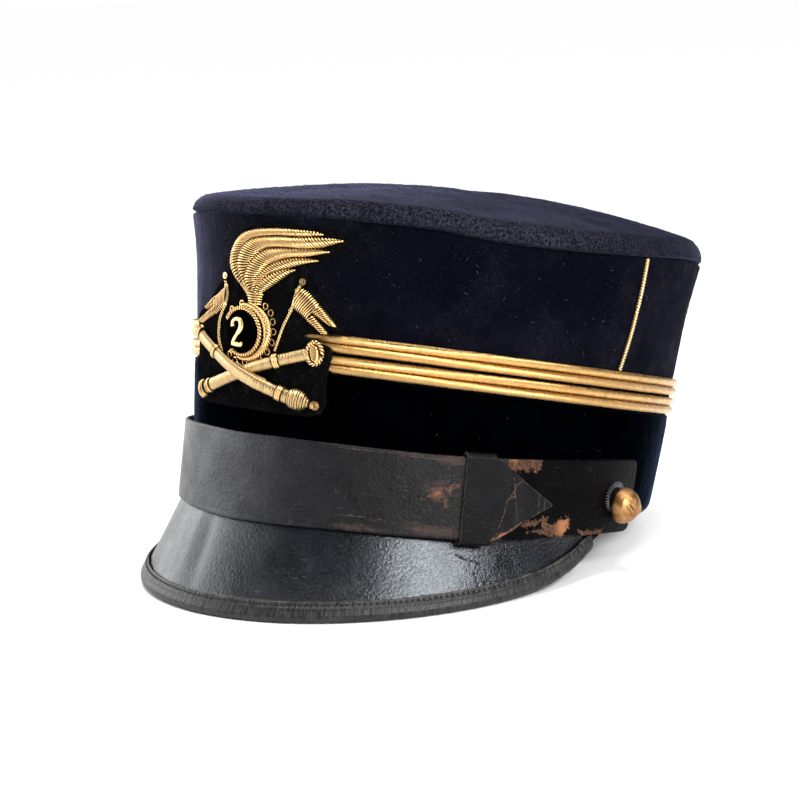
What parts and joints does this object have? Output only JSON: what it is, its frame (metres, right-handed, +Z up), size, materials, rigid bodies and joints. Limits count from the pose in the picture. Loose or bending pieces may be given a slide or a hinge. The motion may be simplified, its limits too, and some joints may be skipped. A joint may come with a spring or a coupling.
{
  "type": "kepi cap",
  "caption": "Stiff cloth kepi with a domed top, velvet band, gold braid, embroidered front badge, leather peak and chin strap, resting on its peak and rim; open underneath for a head.",
  "frame": {"origin": "middle of the footprint's bounding box, on the table that the cap rests on", "axes": "+Z up from the table, -Y to the peak (the front), +X to the wearer's left. The cap is tipped back 12.3 degrees about X, as it rests on the front of its peak and the back of its rim."},
  "size_m": [0.2026, 0.262, 0.1551],
  "materials": {
    "wool_cloth": "dark blue fulled wool, matt with a faint nap",
    "velvet": "black cotton velvet",
    "gold_braid": "flat braid of gilt wire, satin",
    "gold_wire": "gilt bullion wire, satin",
    "peak_leather": "black varnished leather, fine grain, worn gloss",
    "strap_leather": "black varnished leather, cracked and rubbed to brown",
    "brass": "worn gilt brass",
    "black_cloth": "black cloth under the embroidery"
  },
  "bodies": {
    "root": {"crown_wall": "wool_cloth", "crown_top": "wool_cloth", "velvet_band": "velvet", "braid_lower": "gold_braid", "braid_upper": "gold_braid", "side_cord_left": "gold_wire", "side_cord_right": "gold_wire", "peak": "peak_leather", "peak_binding": "peak_leather", "strap": "strap_leather", "strap_tail": "strap_leather", "strap_keeper": "strap_leather", "button_left": "brass", "button_right": "brass", "badge_backing": "black_cloth", "badge_plume": "gold_wire", "badge_grenade": "gold_wire", "badge_disc": "black_cloth", "badge_numeral": "gold_wire", "badge_cannon_a": "gold_wire", "badge_cannon_b": "gold_wire", "badge_pennant_left": "gold_wire", "badge_pennant_right": "gold_wire"}
  },
  "joints": []
}
